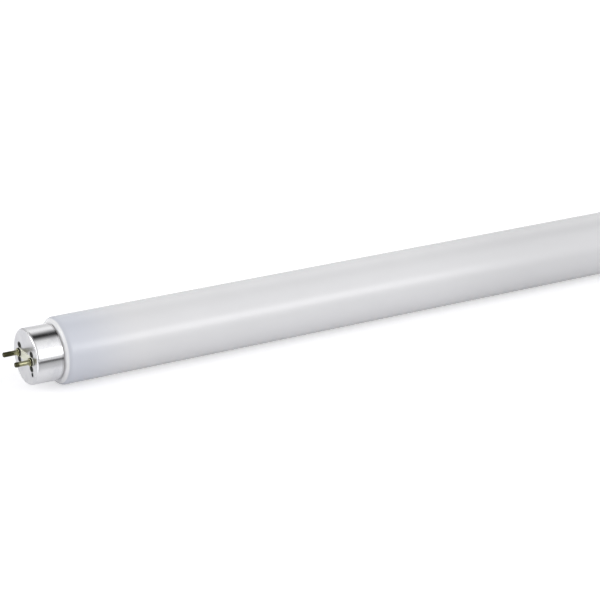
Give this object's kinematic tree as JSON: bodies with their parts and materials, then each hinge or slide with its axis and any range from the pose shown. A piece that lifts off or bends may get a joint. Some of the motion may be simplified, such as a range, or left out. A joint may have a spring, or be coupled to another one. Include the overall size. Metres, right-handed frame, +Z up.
{
  "type": "fluorescent tube",
  "caption": "Straight white fluorescent tube with a necked glass end, a polished aluminium cap and brass contact pins at each end.",
  "frame": {"origin": "middle of the tube, on its axis", "axes": "+X along the tube, +Y across through both pins of each cap, +Z up"},
  "size_m": [0.5942, 0.0318, 0.0316],
  "materials": {
    "phosphor_coated_glass": "clear soda-lime glass over a white phosphor coat, opaque and glossy",
    "polished_aluminium": "deep drawn and polished",
    "cream_phenolic": "moulded",
    "brass_pin": "drawn, dulled",
    "basing_cement": "baked resin and stone dust",
    "lead_wire": "drawn nickel-plated wire"
  },
  "bodies": {
    "root": {"glass_tube": "phosphor_coated_glass", "left_cap_shell": "polished_aluminium", "left_insulating_plate": "cream_phenolic", "left_cement_ring": "basing_cement", "left_front_pin": "brass_pin", "left_rear_pin": "brass_pin", "left_front_lead_wire": "lead_wire", "left_rear_lead_wire": "lead_wire", "right_cap_shell": "polished_aluminium", "right_insulating_plate": "cream_phenolic", "right_cement_ring": "basing_cement", "right_front_pin": "brass_pin", "right_rear_pin": "brass_pin", "right_front_lead_wire": "lead_wire", "right_rear_lead_wire": "lead_wire"}
  },
  "joints": []
}
